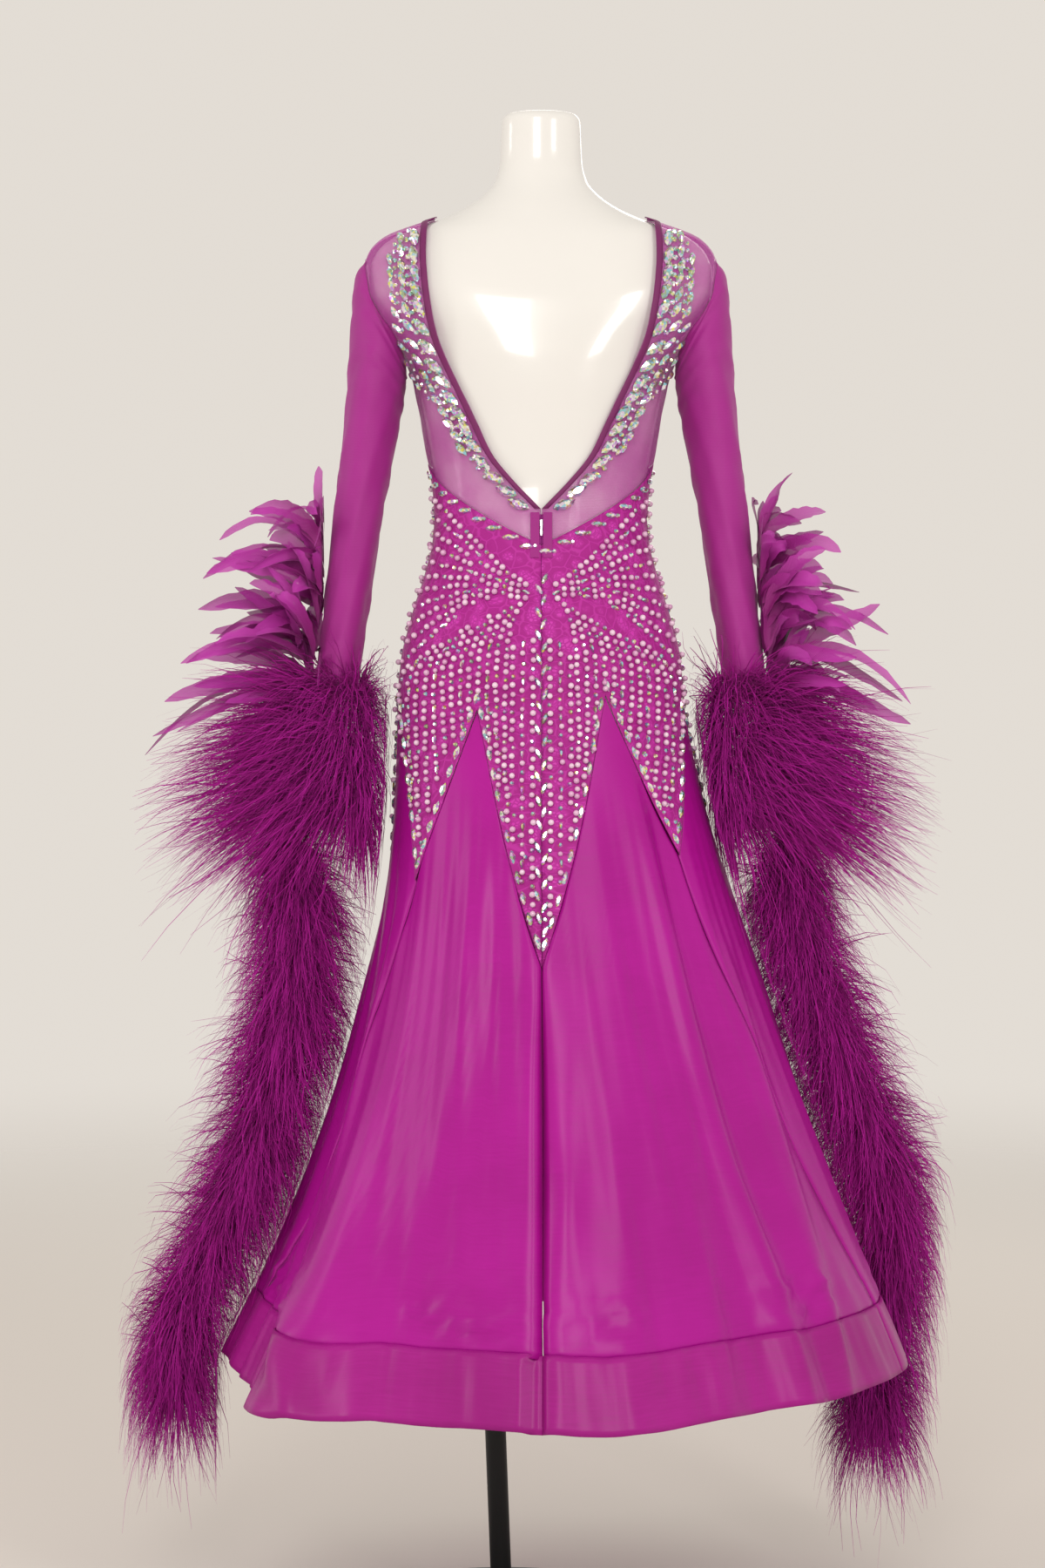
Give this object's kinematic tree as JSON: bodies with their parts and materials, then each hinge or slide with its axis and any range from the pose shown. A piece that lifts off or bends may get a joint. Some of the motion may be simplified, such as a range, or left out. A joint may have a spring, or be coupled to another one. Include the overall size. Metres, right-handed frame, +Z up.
{
  "type": "ballroom dance dress on a limbless dress form with a stand",
  "caption": "Long-sleeved ballroom dance dress with a deep V back, beaded lace yoke, flared satin godets and feather boas, worn by a limbless dress form on a pole and round base.",
  "frame": {"origin": "middle of the whole part's box, on the surface that the base stands on", "axes": "+Z up, the dress's back faces -Y, +X is the wearer's right"},
  "size_m": [0.9524, 0.785, 1.729],
  "materials": {
    "satin": "smooth fuchsia satin with a soft sheen",
    "lace": "fuchsia floral lace over stretch satin",
    "mesh": "sheer fuchsia stretch mesh",
    "binding": "matt plum stretch binding",
    "feather": "dyed ostrich feather barbs",
    "plume": "dyed coque feather blades",
    "form": "glossy white shell",
    "steel": "black powder coat",
    "zip": "small bright zip slider and pull"
  },
  "bodies": {
    "dress": {"back_mesh_left": "mesh", "sleeve_left": "mesh", "neck_binding_left": "binding", "zip_placket_left": "binding", "yoke_back_left": "lace", "plumes_left": "plume", "cuff_feather_1_left": "feather", "cuff_feather_2_left": "feather", "cuff_feather_3_left": "feather", "cuff_feather_4_left": "feather", "boa_left_lower": "feather", "boa_left_upper": "feather", "back_mesh_right": "mesh", "sleeve_right": "mesh", "neck_binding_right": "binding", "zip_placket_right": "binding", "yoke_back_right": "lace", "plumes_right": "plume", "cuff_feather_1_right": "feather", "cuff_feather_2_right": "feather", "cuff_feather_3_right": "feather", "cuff_feather_4_right": "feather", "boa_right_lower": "feather", "boa_right_upper": "feather", "front_bodice": "mesh", "neck_binding_front": "binding", "yoke_front": "lace", "zip_tape": "binding", "zip_slider": "zip", "form_torso": "form", "stand_pole": "steel", "stand_base": "steel", "stand_collar": "steel", "stand_socket": "steel", "godet_1": "satin", "hem_band_1": "satin", "godet_2": "satin", "hem_band_2": "satin", "godet_3": "satin", "hem_band_3": "satin", "godet_4": "satin", "hem_band_4": "satin", "godet_5": "satin", "hem_band_5": "satin", "godet_6": "satin", "hem_band_6": "satin", "godet_7": "satin", "hem_band_7": "satin"},
    "pull": {"zip_pull": "zip"}
  },
  "joints": [
    {"name": "pull_hinge", "type": "hinge", "parent": "dress", "child": "pull", "pos_m": [0.00248, -0.09297, 1.2531], "axis": [-1, 0, 0], "range_deg": [0, 150]}
  ]
}
